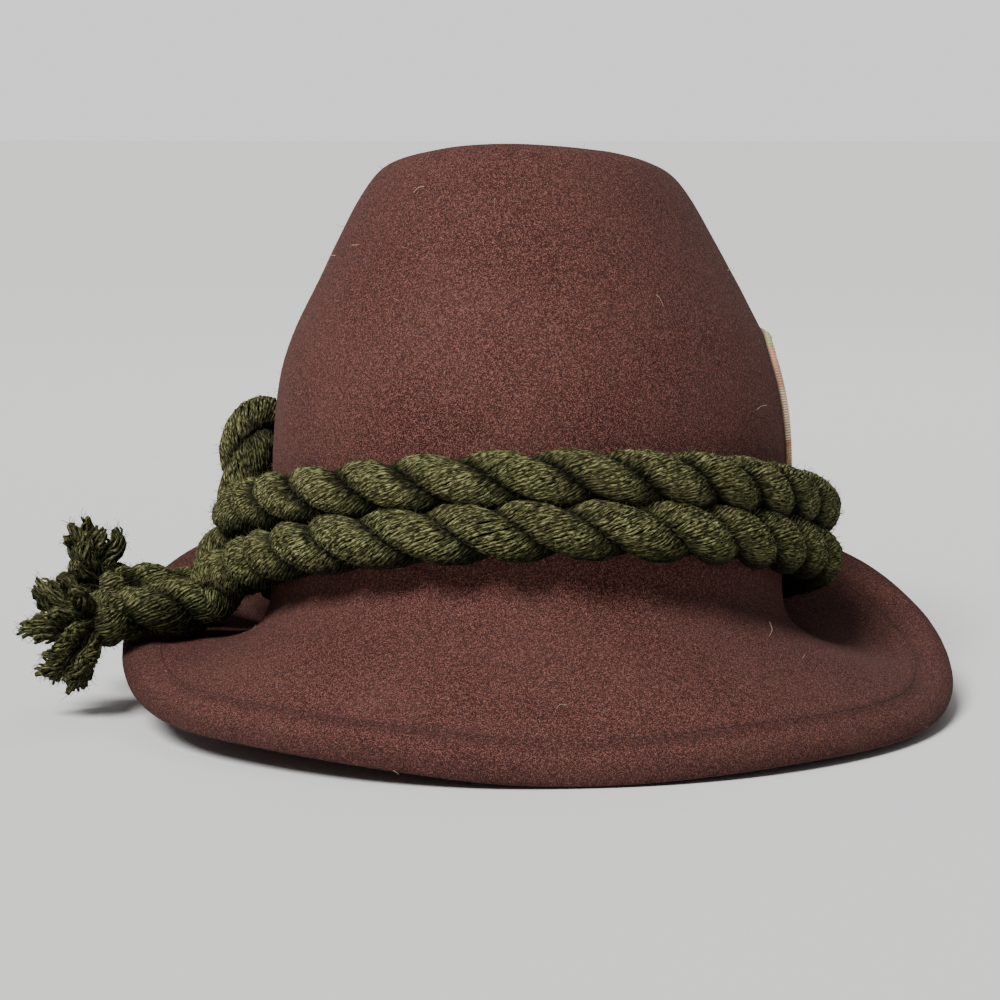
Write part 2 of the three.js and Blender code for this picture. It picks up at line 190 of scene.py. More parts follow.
felt = {
    "levels": 2,
    "ripple": 0.0005,
    "rippleSize": 0.045,
    "dark": paint(25, 10, 10),
    "mid": paint(66, 36, 33),
    "light": paint(132, 88, 79),
    "speck": 0.0003,
    "fibre": 0.0009,
    "mottle": 0.03,
    "tones": (0.36, 0.66),
    "stain": (0.16, 0.075, 0.06, 1),
    "stainShare": 0.16,
    "relief": 0.0005,
    "hemSpread": 1.017,
    # painted shade: its colour, and how strong and how wide it is along the hem's stitches and
    # round the brim's rim
    "shade": (0.02, 0.008, 0.007, 1),
    "stitchShade": 0.5,
    "stitchWidth": 0.0014,
    "rimShade": 0.6,
    "rimWidth": 0.005,
}
# the line of stitches that holds the turned-under hem, as points on the felt
hemRoute = [
    (0.0101, -0.1361, 0.014), (0.0441, -0.1308, 0.0131), (0.0767, -0.1162, 0.0144),
    (0.1041, -0.0913, 0.014), (0.1228, -0.0582, 0.0131), (0.1286, -0.0198, 0.0146),
    (0.1251, 0.0188, 0.0187), (0.114, 0.055, 0.0238), (0.0961, 0.0866, 0.0274),
    (0.0725, 0.1116, 0.026), (0.0432, 0.1286, 0.0253), (0.0101, 0.135, 0.0261),
    (-0.0231, 0.1292, 0.0271), (-0.0523, 0.112, 0.0282), (-0.0747, 0.0861, 0.0297),
    (-0.0896, 0.0548, 0.031), (-0.0983, 0.0196, 0.0272), (-0.1001, -0.0173, 0.0226),
    (-0.095, -0.0543, 0.0193), (-0.0814, -0.0888, 0.0182), (-0.0564, -0.1154, 0.0184),
    (-0.0246, -0.1318, 0.0172),
]


def smoothPath(points, closed=False, fine=24):
    # smooth line through the points, in as many steps from each to the next as fine says
    knots = np.array(points, float)
    if closed:
        knots = np.vstack([knots[-1], knots, knots[0], knots[1]])
    else:
        knots = np.vstack([2 * knots[0] - knots[1], knots, 2 * knots[-1] - knots[-2]])
    gaps = np.linalg.norm(np.diff(knots, axis=0), axis=1) ** 0.5
    times = np.concatenate([[0], np.cumsum(gaps)])
    parts = []
    for i in range(1, len(knots) - 2):
        t0, t1, t2, t3 = times[i - 1:i + 3]
        p0, p1, p2, p3 = knots[i - 1:i + 3]
        t = np.linspace(t1, t2, fine, endpoint=False)[:, None]
        a1 = (t1 - t) / (t1 - t0) * p0 + (t - t0) / (t1 - t0) * p1
        a2 = (t2 - t) / (t2 - t1) * p1 + (t - t1) / (t2 - t1) * p2
        a3 = (t3 - t) / (t3 - t2) * p2 + (t - t2) / (t3 - t2) * p3
        b1 = (t2 - t) / (t2 - t0) * a1 + (t - t0) / (t2 - t0) * a2
        b2 = (t3 - t) / (t3 - t1) * a2 + (t - t1) / (t3 - t1) * a3
        parts.append((t2 - t) / (t2 - t1) * b1 + (t - t1) / (t2 - t1) * b2)
    parts.append(knots[-2][None])
    return np.vstack(parts)


def evenPath(path, step):
    # the same line with its points a step apart
    run = np.concatenate([[0], np.cumsum(np.linalg.norm(np.diff(path, axis=0), axis=1))])
    count = max(2, int(round(run[-1] / step)) + 1)
    at = np.linspace(0, run[-1], count)
    return np.stack([np.interp(at, run, path[:, axis]) for axis in range(3)], axis=1)


def hemLine(step):
    spread = (felt["hemSpread"], felt["hemSpread"], 1)
    return evenPath(smoothPath(np.array(hemRoute) * spread, closed=True), step)


def feltShade(places):
    # painted shade along the hem's stitches and on the outermost part of the brim, where it
    # rounds under
    hem = hemLine(0.001)
    tree = KDTree(len(hem))
    for i, (x, y, _) in enumerate(hem):
        tree.insert((x, y, 0), i)
    tree.balance()
    away = np.array([tree.find((x, y, 0))[2] for x, y, _ in places])
    spots = places - hem.mean(axis=0)
    turn = np.arctan2(spots[:, 1], spots[:, 0])
    reach = np.hypot(spots[:, 0], spots[:, 1])
    count = 120  # directions in which the brim's reach is taken
    edge = np.zeros(count)
    np.maximum.at(edge, ((turn + pi) / (2 * pi) * count).astype(int) % count, reach)
    for _ in range(3):  # a direction without a rim point takes its neighbours' reach
        edge = np.maximum(edge, (np.roll(edge, 1) + np.roll(edge, -1)) / 2)
    ways = (np.arange(count) + 0.5) / count * 2 * pi - pi
    inward = np.interp(turn, ways, edge, period=2 * pi) - reach
    rim = felt["rimShade"] * np.clip(1 - inward / felt["rimWidth"], 0, 1)
    grooveShade = felt["stitchShade"] * np.clip(1 - away / felt["stitchWidth"], 0, 1)
    return np.maximum(grooveShade, rim)


def feltMaterial():
    look = Look("heathered_felt")
    speck = look.grain(felt["speck"], 1.0, 0.6)
    fibre = look.grain(felt["fibre"], 3.0, 0.65)
    mottle = look.grain(felt["mottle"], 3.0, 0.5)
    tone = look.span(speck * 0.7 + fibre * 0.3, *felt["tones"])
    stops = [(0.0, felt["dark"]), (0.5, felt["mid"]), (0.86, felt["light"]), (1.0, felt["light"])]
    body = look.node("ShaderNodeValToRGB", {"stops": stops}, {"Fac": tone})
    stain = look.span(mottle, 0.3, 0.7, 0.0, felt["stainShare"])
    colour = look.blendColour(stain, body, felt["stain"])
    # painted shade along the hem's stitches and round the brim's rim
    colour = look.blendColour(look.attribute("feltShade"), colour, felt["shade"])
    height = speck * 0.6 + fibre * 0.9 + mottle * 0.6
    bump = look.node("ShaderNodeBump", None,
                     {"Strength": 0.55, "Distance": felt["relief"], "Height": height})
    return look.finish({"Base Color": colour, "Roughness": 0.95, "Normal": bump,
                        "Specular IOR Level": 0.15, "Sheen Weight": 0.02,
                        "Sheen Roughness": 0.45, "Sheen Tint": (0.75, 0.6, 0.55, 1)})


def makeFelt():
    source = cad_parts["felt_body"]
    shell = bmesh.new()
    shell.from_mesh(source.data)
    bmesh.ops.remove_doubles(shell, verts=shell.verts, dist=1e-6)
    bmesh.ops.join_triangles(shell, faces=shell.faces, angle_face_threshold=radians(50),
                             angle_shape_threshold=radians(60))
    mesh = bpy.data.meshes.new("felt")
    shell.to_mesh(mesh)
    shell.free()
    holder = bpy.data.objects.new("felt_holder", mesh)
    bpy.context.collection.objects.link(holder)
    smooth = holder.modifiers.new("round", "SUBSURF")
    smooth.levels = smooth.render_levels = felt["levels"]
    mesh = bakeMesh(holder, "felt")
    places, normals = pointRows(mesh)
    size = felt["rippleSize"]
    waves = [noise.noise(Vector(p) / size) + 0.4 * noise.noise(Vector(p) / size * 3.3)
             for p in places]
    free = np.clip((places[:, 2] - 0.002) / 0.01, 0, 1)  # no ripples where the brim bears
    lift = felt["ripple"] * np.array(waves) * free
    markPoints(mesh, "feltShade", feltShade(places))
    mesh.vertices.foreach_set("co", (places + normals * lift[:, None]).ravel())
    smoothFaces(mesh)
    return addPiece("felt_hat", mesh, feltMaterial(), "felt", "felt_body")


feltPiece = makeFelt()
print("felt made", len(feltPiece.data.polygons))


cord = {
    "pitch": 0.041,
    "unevenLay": 0.6,
    "radius": 0.0087,
    "notch": 0.27,
    "notchWidth": 4,
    "plyGap": 0.0003,
    "yarns": 31,
    "yarnRadius": 0.00064,
    "yarnPitch": -0.0214,
    "step": 0.0018,
    "wander": 0.00045,
    "crimp": 0.018,
    "fibreSize": 0.0004,
    "fibreStretch": 0.24,
    "fibreShift": 0.013,
    "woolSize": 0.0022,
    "tones": (0.36, 0.66),
    "relief": 0.0005,
    # painted shade between the plies (deep) and on the sides facing down and towards the hat
    # (under), for each stretch of the cord
    "deepStart": 0.0076,
    "deepWidth": 0.0016,
    "deepShade": 0.94,
    "underStart": 0.48,
    "underWidth": 0.74,
    "underShade": {"tail_lower": 0.65, "wrap_lower": 0.9, "loop": 0.45, "wrap_upper": 0.9,
                   "tail_upper": 0.65},
    "lumps": 0.05,
    "upperFullness": 0.93,
    "heads": (0.0115, 0.0075),
    "pinchAt": (0, 0.003, 0.0075, 0.0105, 0.014),
    "pinch": (0.74, 1.05, 1.02, 0.74, 1.0),
    "dark": paint(5, 5, 2),
    "mid": paint(52, 55, 30),
    "light": paint(154, 153, 106),
    "faded": paint(70, 60, 44),
    "fadedShare": 0.22,
    # near-black colour of the painted shade between the plies and on the undersides
    "grooveShade": paint(7, 7, 4),
}
# middle of the cord: from one frayed end, twice round the crown, up in the loop between, and out
# to the other frayed end
cordRoute = {
    "tail_lower": [
        (-0.1115, -0.0405, 0.0297), (-0.1039, -0.0355, 0.0304), (-0.0956, -0.0293, 0.0303),
        (-0.0886, -0.025, 0.0304), (-0.0824, -0.0236, 0.04), (-0.0772, -0.0292, 0.0424),
        (-0.0741, -0.0358, 0.0445)],
    "wrap_lower": [
        (-0.0515, -0.0744, 0.0557), (-0.019, -0.0977, 0.0623), (0.0194, -0.1027, 0.0652),
        (0.0559, -0.0883, 0.0632), (0.0838, -0.0578, 0.0569), (0.0985, -0.0169, 0.0474),
        (0.098, 0.0273, 0.0369), (0.0827, 0.0677, 0.0275), (0.0545, 0.0976, 0.0208),
        (0.0179, 0.1112, 0.0179), (-0.0202, 0.1052, 0.0189), (-0.0524, 0.0811, 0.0234),
        (-0.0731, 0.0438, 0.0303)],
    "loop": [
        (-0.0774, 0.0297, 0.0347), (-0.0806, 0.0249, 0.0438), (-0.0828, 0.0247, 0.0582),
        (-0.0825, 0.0294, 0.0742), (-0.0799, 0.0409, 0.0817), (-0.0762, 0.0517, 0.0754),
        (-0.0727, 0.0573, 0.0607), (-0.0673, 0.0642, 0.0469), (-0.0604, 0.0746, 0.0399)],
    "wrap_upper": [
        (-0.0289, 0.1041, 0.0352), (0.0081, 0.1148, 0.0332), (0.0455, 0.1065, 0.0351),
        (0.0764, 0.0811, 0.0407), (0.0952, 0.0438, 0.0493), (0.1002, 0.0007, 0.0592),
        (0.0912, -0.0412, 0.0686), (0.0682, -0.0753, 0.0761), (0.0348, -0.0961, 0.0794),
        (-0.0034, -0.0989, 0.0784), (-0.0388, -0.0832, 0.0737), (-0.0653, -0.0526, 0.0665),
        (-0.0788, -0.0119, 0.0575)],
    "tail_upper": [
        (-0.081, -0.0025, 0.0517), (-0.0856, 0.0016, 0.0431), (-0.091, -0.0018, 0.0309),
        (-0.0988, -0.0079, 0.0318), (-0.1079, -0.0133, 0.0333), (-0.1161, -0.0165, 0.0338)],
}


def unit(rows):
    return rows / np.maximum(np.linalg.norm(rows, axis=1, keepdims=True), 1e-12)


def carryFrames(path):
    # one sideways direction carried along the path without twist, and the one square to it
    ahead = unit(np.gradient(path, axis=0))
    side = np.zeros_like(path)
    first = np.cross(ahead[0], (0, 0, 1.0))
    side[0] = first / np.linalg.norm(first)
    for i in range(1, len(path)):
        turned = side[i - 1] - ahead[i] * np.dot(side[i - 1], ahead[i])
        side[i] = turned / np.linalg.norm(turned)
    return ahead, side, np.cross(ahead, side)


def layCord():
    # middle line of the whole cord and the direction from it to its first ply
    path = smoothPath([point for part in cordRoute.values() for point in part])
    starts = unit(np.array([path[0] - path[9], path[-1] - path[-10]]))
    heads = cord["heads"]
    path = np.vstack([path[0] + starts[0] * heads[0], path, path[-1] + starts[1] * heads[1]])
    middle = evenPath(path, cord["step"])
    ahead, side, up = carryFrames(middle)
    run = np.arange(len(middle)) * np.linalg.norm(middle[1] - middle[0])
    uneven = np.array([noise.noise((s * 19, 4.2, 0)) for s in run])
    twist = 2 * pi * run / cord["pitch"] + cord["unevenLay"] * uneven
    toPly = side * np.cos(twist)[:, None] + up * np.sin(twist)[:, None]
    return middle, toPly, run


def swell(run):
    # how full the cord is: pinched behind each frayed end, round just before it, uneven between
    fromEnd = np.minimum(run, run[-1] - run)
    full = np.interp(fromEnd, cord["pinchAt"], cord["pinch"])
    uneven = np.array([1 + cord["lumps"] * noise.noise((s * 31, 8.8, 0)) for s in run])
    thin = cord["upperFullness"]
    upper = np.interp(run[-1] - run, (0.05, 0.11, 0.5, 0.62), (1, thin, thin, 1))
    return full * uneven * upper


def plyOutline():
    # outline of one ply seen along the cord: nearly half of the round cord, its edges drawn in
    reach = cord["radius"] - cord["yarnRadius"]
    turns = np.linspace(-pi / 2, pi / 2, 90)
    wide = reach * (1 - cord["notch"] * np.abs(np.sin(turns)) ** cord["notchWidth"])
    outer = np.stack([wide * np.cos(turns) + cord["plyGap"], wide * np.sin(turns), 0 * turns],
                     axis=1)
    closed = evenPath(np.vstack([outer, outer[:1]]), 0.0001)[:-1]
    soft = np.ones(9) / 9
    wrapped = np.vstack([closed[-4:], closed, closed[:4]])
    return np.array([np.convolve(wrapped[:, i], soft, "valid") for i in (0, 1)]).T


def layYarns(middle, toPly, run):
    # paths of all surface yarns
    outline = plyOutline()
    outline = np.vstack([outline, outline[:1]])
    share = np.linspace(0, 1, len(outline))
    beside = np.cross(unit(np.gradient(middle, axis=0)), toPly)
    full = swell(run)
    paths = []
    for sign in (1, -1):
        for k in range(cord["yarns"]):
            crimp = np.array([noise.noise((s * 340, k * 5.7, sign * 9.1)) for s in run])
            wander = np.array([noise.noise((s * 260, k * 7.3, sign * 3.1)) for s in run])
            around = (k / cord["yarns"] + run / cord["yarnPitch"] + cord["crimp"] * crimp) % 1
            out = np.interp(around, share, outline[:, 0])[:, None]
            aside = np.interp(around, share, outline[:, 1])[:, None]
            wide = sign * (full + cord["wander"] / cord["radius"] * wander)[:, None]
            paths.append(middle + wide * (toPly * out + beside * aside))
    return paths


def markFibre(mesh, paths):
    # where each point lies along and round its own tube; a baked curve has the caps' points first
    ring = len(mesh.vertices) // (sum(len(path) for path in paths) + 2 * len(paths))
    rows = np.zeros((len(mesh.vertices), 3))
    start = 2 * ring * len(paths)
    turns = 2 * pi * np.arange(ring) / ring
    for k, path in enumerate(paths):
        run = np.concatenate([[0], np.cumsum(np.linalg.norm(np.diff(path, axis=0), axis=1))])
        block = rows[start:start + ring * len(path)].reshape(len(path), ring, 3)
        block[:, :, 0] = run[:, None] * cord["fibreStretch"]
        block[:, :, 1] = np.cos(turns) * cord["yarnRadius"] + k * cord["fibreShift"]
        block[:, :, 2] = np.sin(turns) * cord["yarnRadius"]
        start += ring * len(path)
    mesh.attributes.new("fibre", "FLOAT_VECTOR", "POINT").data.foreach_set("vector", rows.ravel())


def tubeMesh(name, paths, radii, sides=0):
    # closed tubes along many paths, each with a radius of its own
    curve = bpy.data.curves.new(name, "CURVE")
    curve.dimensions = "3D"
    curve.bevel_depth = 1.0
    curve.bevel_resolution = sides
    curve.use_fill_caps = True
    for path, radius in zip(paths, radii):
        line = curve.splines.new("POLY")
        line.points.add(len(path) - 1)
        line.points.foreach_set("co", np.hstack([path, np.ones((len(path), 1))]).ravel())
        line.points.foreach_set("radius", np.broadcast_to(radius, len(path)).astype(float))
    holder = bpy.data.objects.new(name + "_holder", curve)
    bpy.context.collection.objects.link(holder)
    mesh = bakeMesh(holder, name)
    smoothFaces(mesh)
    markFibre(mesh, paths)
    return mesh


def cordMaterial(name):
    look = Look(name)
    fine = look.grain(cord["fibreSize"], 2.0, 0.65, look.attribute("fibre", "Vector"))
    wool = look.grain(cord["woolSize"], 3.0, 0.6)
    tone = look.span(fine * 0.8 + wool * 0.2, *cord["tones"])
    stops = [(0.0, cord["dark"]), (0.42, cord["mid"]), (0.95, cord["light"])]
    colour = look.node("ShaderNodeValToRGB", {"stops": stops}, {"Fac": tone})
    worn = look.span(look.grain(0.016, 2.0, 0.5), 0.42, 0.68, 0.0, cord["fadedShare"])
    colour = look.blendColour(worn, colour, cord["faded"])
    # painted shade between the plies and on the undersides, from a number marked on each point
    colour = look.blendColour(look.attribute("depth"), colour, cord["grooveShade"])
    bump = look.node("ShaderNodeBump", None,
                     {"Strength": 0.6, "Distance": cord["relief"], "Height": fine + wool})
    return look.finish({"Base Color": colour, "Roughness": 0.95, "Normal": bump,
                        "Specular IOR Level": 0.06, "Sheen Weight": 0.03,
                        "Sheen Roughness": 0.5, "Sheen Tint": (0.6, 0.6, 0.4, 1)})


woolLook = cordMaterial("twisted_wool")
rng = np.random.default_rng(7)
noise.seed_set(7)  # vector noise differs from run to run without it
cordMiddle, cordToPly, cordRun = layCord()
cordYarns = layYarns(cordMiddle, cordToPly, cordRun)
print("cord laid, metres:", round(float(cordRun[-1]), 3))


def partEnds():
    # where each stretch of the cord begins and ends, as steps along it
    parts = list(cordRoute.values())
    marks = [parts[0][0]] + [part[-1] for part in parts]
    ends = [int(np.argmin(np.linalg.norm(cordMiddle - np.array(mark), axis=1))) for mark in marks]
    return dict(zip(cordRoute, zip(ends[:-1], ends[1:])))


def markCordShade(mesh, part):
    # painted shade: darker the deeper each point lies between the plies, and the further round it
    # faces towards the hat and the brim, where less light falls
    first, last = stretches[part]
    tree = KDTree(last - first + 1)
    for i in range(first, last + 1):
        tree.insert(cordMiddle[i], i)
    tree.balance()
    places = pointRows(mesh)[0]
    nearest = [tree.find(place) for place in places]
    away = np.array([found[2] for found in nearest])
    middles = np.array([found[0] for found in nearest])
    # outward and up, the side where most light falls; points facing away from it get painted
    # shade
    outward = unit(middles * (1, 1, 0)) * 0.75 + np.array((0, 0, 0.66))
    facing = np.sum(unit(places - middles) * outward, axis=1)
    deep = cord["deepShade"] * np.clip((cord["deepStart"] - away) / cord["deepWidth"], 0, 1)
    undersideShade = np.clip((cord["underStart"] - facing) / cord["underWidth"], 0, 1)
    markPoints(mesh, "depth", 1 - (1 - deep) * (1 - cord["underShade"][part] * undersideShade))
    return mesh


def makeCord():
    for part, (first, last) in stretches.items():
        paths = [path[first:last + 1] for path in cordYarns]
        mesh = markCordShade(tubeMesh("wool_" + part, paths, [cord["yarnRadius"]] * len(paths)), part)
        addPiece("wool_" + part, mesh, woolLook, "cord", "cord_" + part)
        print(part, len(mesh.polygons))


stretches = partEnds()
makeCord()
print("cord made")

frayed = {
    "yarnsPerLock": 10,
    "yarnRadius": 0.00075,
    "lockRadius": 0.0023,
    "length": 0.0165,
    "neck": 0.0056,
    "curl": 0.0016,
    "wind": 3.4,
    # painted shade inside each tuft and on its sides that face down
    "insideShade": 0.93,
    "insideStart": 0.0135,
    "insideWidth": 0.0085,
    "belowShade": 0.8,
}
# the locks of wool at each end: side and lift in degrees from straight out, share of the length
frayedLocks = {
    "upper": [
        (-4, 108, 1.1), (24, 96, 1.0), (-30, 88, 0.95), (2, 80, 1.2), (34, 66, 0.9),
        (-22, 62, 1.1), (8, 50, 1.0), (-42, 46, 0.9), (26, 38, 0.85), (-14, 24, 0.7),
        (0, 6, 0.6), (26, 8, 0.6), (-30, 4, 0.6), (10, -20, 0.6), (-18, -30, 0.55),
        (30, -38, 0.6), (2, -60, 0.55), (-50, -20, 0.6)],
    "lower": [
        (8, 60, 0.95), (40, 44, 1.0), (-20, 40, 1.1), (12, 30, 1.32), (30, 16, 1.28),
        (-34, 10, 0.95), (46, 4, 1.1), (2, 4, 1.36), (24, -14, 1.36), (-24, -20, 1.15),
        (56, -28, 1.0), (4, -32, 1.34), (34, -44, 1.15), (-22, -52, 1.05), (10, -60, 1.15),
        (44, -72, 0.9), (-4, -80, 0.9)],
}


def layLock(start, way, length, out, rng):
    # yarns wound loosely round one lock's middle line, drawn together at its tip
    sway = rng.normal(0, frayed["curl"], (2, 3))
    foot = start + out * 0.003
    knots = [start - out * 0.002, start + out * 0.0015,
             foot + way * length * 0.35 + sway[0] * 0.5,
             foot + way * length * 0.72 + sway[0], foot + way * length + sway[1]]
    middle = evenPath(smoothPath(knots, fine=10), 0.0012)
    ahead, side, up = carryFrames(middle)
    t = np.linspace(0, 1, len(middle))
    full = np.interp(t, (0, 0.4, 0.75, 1), (0.7, 1.0, 0.95, 0.5))
    wide = frayed["lockRadius"] * full * rng.uniform(0.85, 1.2)
    phase = rng.uniform(0, 2 * pi)
    core = np.interp(t[:-1], (0, 0.4, 0.8, 1), (0.7, 1, 0.9, 0.3))
    paths = [middle[:-1]]
    radii = [core * frayed["lockRadius"] * 0.8]
    for k in range(frayed["yarnsPerLock"]):
        angle = phase + 2 * pi * k / frayed["yarnsPerLock"] + t * frayed["wind"]
        seed = rng.uniform(0, 90)
        curl = np.array([noise.noise_vector((seed, i * 0.42, 0)) for i in range(len(middle))])
        reach = (wide * rng.uniform(0.8, 1.15))[:, None]
        path = middle + reach * (side * np.cos(angle)[:, None] + up * np.sin(angle)[:, None])
        path = path + curl * frayed["curl"] * (0.2 + 0.8 * t[:, None])
        keep = int(len(path) * rng.uniform(0.8, 1.0))
        paths.append(path[:keep])
        taper = np.interp(np.linspace(0, 1, keep), (0, 0.7, 1), (1.0, 1.05, 0.6))
        radii.append(frayed["yarnRadius"] * taper)
    return paths, radii


def markTuftShade(mesh, end, out):
    # painted shade inside the tuft, where its locks part, and on its sides that face down
    places, normals = pointRows(mesh)
    away = np.linalg.norm(places - (end + out * 0.001), axis=1)
    reach = np.clip(((places - end) @ out + 0.002) / 0.004, 0, 1)
    inside = np.clip((frayed["insideStart"] - away) / frayed["insideWidth"], 0, 1) * reach
    undersideShade = frayed["belowShade"] * np.clip(0.5 - normals[:, 2], 0, 1)
    markPoints(mesh, "depth", 1 - (1 - frayed["insideShade"] * inside) * (1 - undersideShade))
    return mesh


def makeFrayedEnds():
    ends = {"lower": (cordMiddle[0], cordMiddle[0] - cordMiddle[2],
                      slice(0, stretches["tail_lower"][0] + 1)),
            "upper": (cordMiddle[-1], cordMiddle[-1] - cordMiddle[-3],
                      slice(stretches["tail_upper"][1], None))}
    laid = {}
    for name, (end, out, head) in ends.items():
        out = unit(out[None])[0]
        side = unit(np.cross((0, 0, 1.0), out)[None])[0]
        up = np.cross(out, side)
        paths = [path[head] for path in cordYarns]
        radii = [cord["yarnRadius"]] * len(paths)
        for turnSide, turnUp, share in frayedLocks[name]:
            a, b = radians(turnSide), radians(turnUp)
            away = side * sin(a) * cos(b) + up * sin(b)
            way = out * cos(a) * cos(b) + away
            start = end - out * 0.003 + away * frayed["neck"] * 0.75
            more, wide = layLock(start, way, frayed["length"] * share, out, rng)
            paths += more
            radii += wide
        mesh = tubeMesh("frayed_" + name, paths, radii)
        markTuftShade(mesh, end, out)
        addPiece("frayed_" + name, mesh, woolLook, "wool", "tassel_" + name)
        laid[name] = (paths, end, out)
        print("frayed", name, len(mesh.polygons))
    return laid


frayedPaths = makeFrayedEnds()
print("frayed ends made")

fuzz = {
    "perMetre": 15500,
    "tailsPerMetre": 32000,
    "perLockPoint": 1.1,
    "hairLength": 0.0027,
    "hairRadius": 0.000068,
    "lie": 0.3,
    "wool": paint(104, 104, 62),
    "napHairs": 6500,
    "napLength": 0.0013,
    "napRadius": 0.000035,
    "nap": paint(165, 128, 114),
    "strays": 150,
    "strayLength": 0.0065,
    "strayRadius": 0.00006,
    "stray": paint(214, 190, 164),
    # colour of the painted shade on the cord's loose hairs
    "shade": (0.002, 0.002, 0.001, 1),
}


def hairPaths(roots, outs, length, rng, lie):
    # short bent fibres from the roots, standing out where lie is 0 and lying down where it is 1
    paths = []
    for root, out in zip(roots, outs):
        drift = rng.normal(0, 1, 3)
        way = unit((out * (1 - lie) + 0.6 * drift * (0.4 + lie))[None])[0]
        bend = rng.normal(0, 0.45, 3)
        reach = length * rng.uniform(0.35, 1.0)
        middle = root + way * reach * 0.5
        tip = middle + unit((way + bend)[None])[0] * reach * 0.5
        paths.append(np.array([root - out * 0.0002, middle, tip]))
    return paths


def fuzzMaterial(name, colour):
    look = Look(name)
    tone = look.grain(0.004, 1.0, 0.5)
    deep = tuple(0.35 * value for value in colour[:3]) + (1,)
    mixed = look.blendColour(look.span(tone, 0.35, 0.65), deep, colour)
    # painted shade on the hairs, from the number marked on their points as on the cord's
    mixed = look.blendColour(look.attribute("depth"), mixed, fuzz["shade"])
    return look.finish({"Base Color": mixed, "Roughness": 0.8, "Specular IOR Level": 0.2})


def makeCordFuzz():
    look = fuzzMaterial("loose_wool", fuzz["wool"])
    taper = np.array([1, 0.9, 0.5]) * fuzz["hairRadius"]
    yarns = np.array(cordYarns)
    for part, (first, last) in stretches.items():
        thick = fuzz["tailsPerMetre"] if part.startswith("tail") else fuzz["perMetre"]
        count = int((last - first) * cord["step"] * thick)
        pick = rng.integers(0, len(yarns), count), rng.integers(first, last, count)
        roots = yarns[pick]
        outs = unit(roots - cordMiddle[pick[1]])
        paths = hairPaths(roots, outs, fuzz["hairLength"], rng, fuzz["lie"])
        mesh = markCordShade(tubeMesh("fuzz_" + part, paths, [taper] * len(paths)), part)
        addPiece("fuzz_" + part, mesh, look, "cord")
    for name, (group, end, out) in frayedPaths.items():
        spots = np.vstack(group)
        heart = spots.mean(axis=0)
        roots = spots[rng.integers(0, len(spots), int(len(spots) * fuzz["perLockPoint"]))]
        outs = unit(unit(roots - heart) + rng.normal(0, 0.5, roots.shape))
        paths = hairPaths(roots, outs, fuzz["hairLength"] * 1.3, rng, 0.35)
        mesh = markTuftShade(tubeMesh("fuzz_end_" + name, paths, [taper] * len(paths)), end, out)
        addPiece("fuzz_end_" + name, mesh, look, "wool")
        print("fuzz", name, len(mesh.polygons))


def surfaceSpots(mesh, count, rng):
    # points spread evenly over the whole felt, with their normals
    places, normals = pointRows(mesh)
    corners = np.empty(len(mesh.loops), int)
    mesh.loops.foreach_get("vertex_index", corners)
    quads = corners.reshape(-1, 4)
    a, b, c, d = (places[quads[:, i]] for i in range(4))
    area = np.linalg.norm(np.cross(c - a, d - b), axis=1)
    picked = rng.choice(len(quads), count, p=area / area.sum())
    u, v = rng.uniform(0, 1, (2, count, 1))
    low = a[picked] * (1 - u) + b[picked] * u
    high = d[picked] * (1 - u) + c[picked] * u
    return low * (1 - v) + high * v, normals[quads[picked, 0]]


def makeNap():
    spots, normals = surfaceSpots(feltPiece.data, fuzz["napHairs"] + fuzz["strays"], rng)
    clear = spots[:, 2] > 0.003
    spots, normals = spots[clear], normals[clear]
    strays = fuzz["strays"]
    paths = hairPaths(spots[strays:], normals[strays:], fuzz["napLength"], rng, 0.8)
    taper = np.array([1, 1, 0.5]) * fuzz["napRadius"]
    mesh = tubeMesh("felt_nap", paths, [taper] * len(paths))
    addPiece("felt_nap", mesh, fuzzMaterial("loose_felt_fibre", fuzz["nap"]), "felt")
    paths = hairPaths(spots[:strays], normals[:strays], fuzz["strayLength"], rng, 0.92)
    paths = [smoothPath(path, fine=4) for path in paths]
    mesh = tubeMesh("stray_fibres", paths, [fuzz["strayRadius"]] * len(paths))
    addPiece("stray_fibres", mesh, fuzzMaterial("stray_fibre", fuzz["stray"]), "felt")


makeCordFuzz()
makeNap()
print("loose fibres made")


def feltSkin():
    shell = bmesh.new()
    shell.from_mesh(feltPiece.data)
    skin = BVHTree.FromBMesh(shell)
    shell.free()
    return skin


feltSurface = feltSkin()
stitches = {
    "pitch": 0.0031,
    "length": 0.0021,
    "radius": 0.00022,
    "step": 0.00025,
    "lifts": (-0.0001, 0.00012, -0.0001),
    "thread": paint(38, 17, 15),
    "threadLight": paint(66, 34, 30),
}


def makeStitches():
    hem = hemLine(stitches["step"])
    every = int(round(stitches["pitch"] / stitches["step"]))
    keep = int(round(stitches["length"] / stitches["step"]))
    paths = []
    for first in range(0, len(hem) - keep, every):
        spots = [feltSurface.find_nearest(Vector(hem[first + k])) for k in (0, keep // 2, keep)]
        paths.append(np.array([place + normal * lift
                               for (place, normal, _, _), lift in zip(spots, stitches["lifts"])]))
    mesh = tubeMesh("hem_stitches", paths, [stitches["radius"]] * len(paths), 1)
    look = Look("hem_thread")
    tone = look.grain(0.0008, 2.0, 0.6)
    colour = look.blendColour(tone, stitches["thread"], stitches["threadLight"])
    addPiece("hem_stitches", mesh, look.finish({"Base Color": colour, "Roughness": 0.8}), "felt")


makeStitches()
print("stitches made")

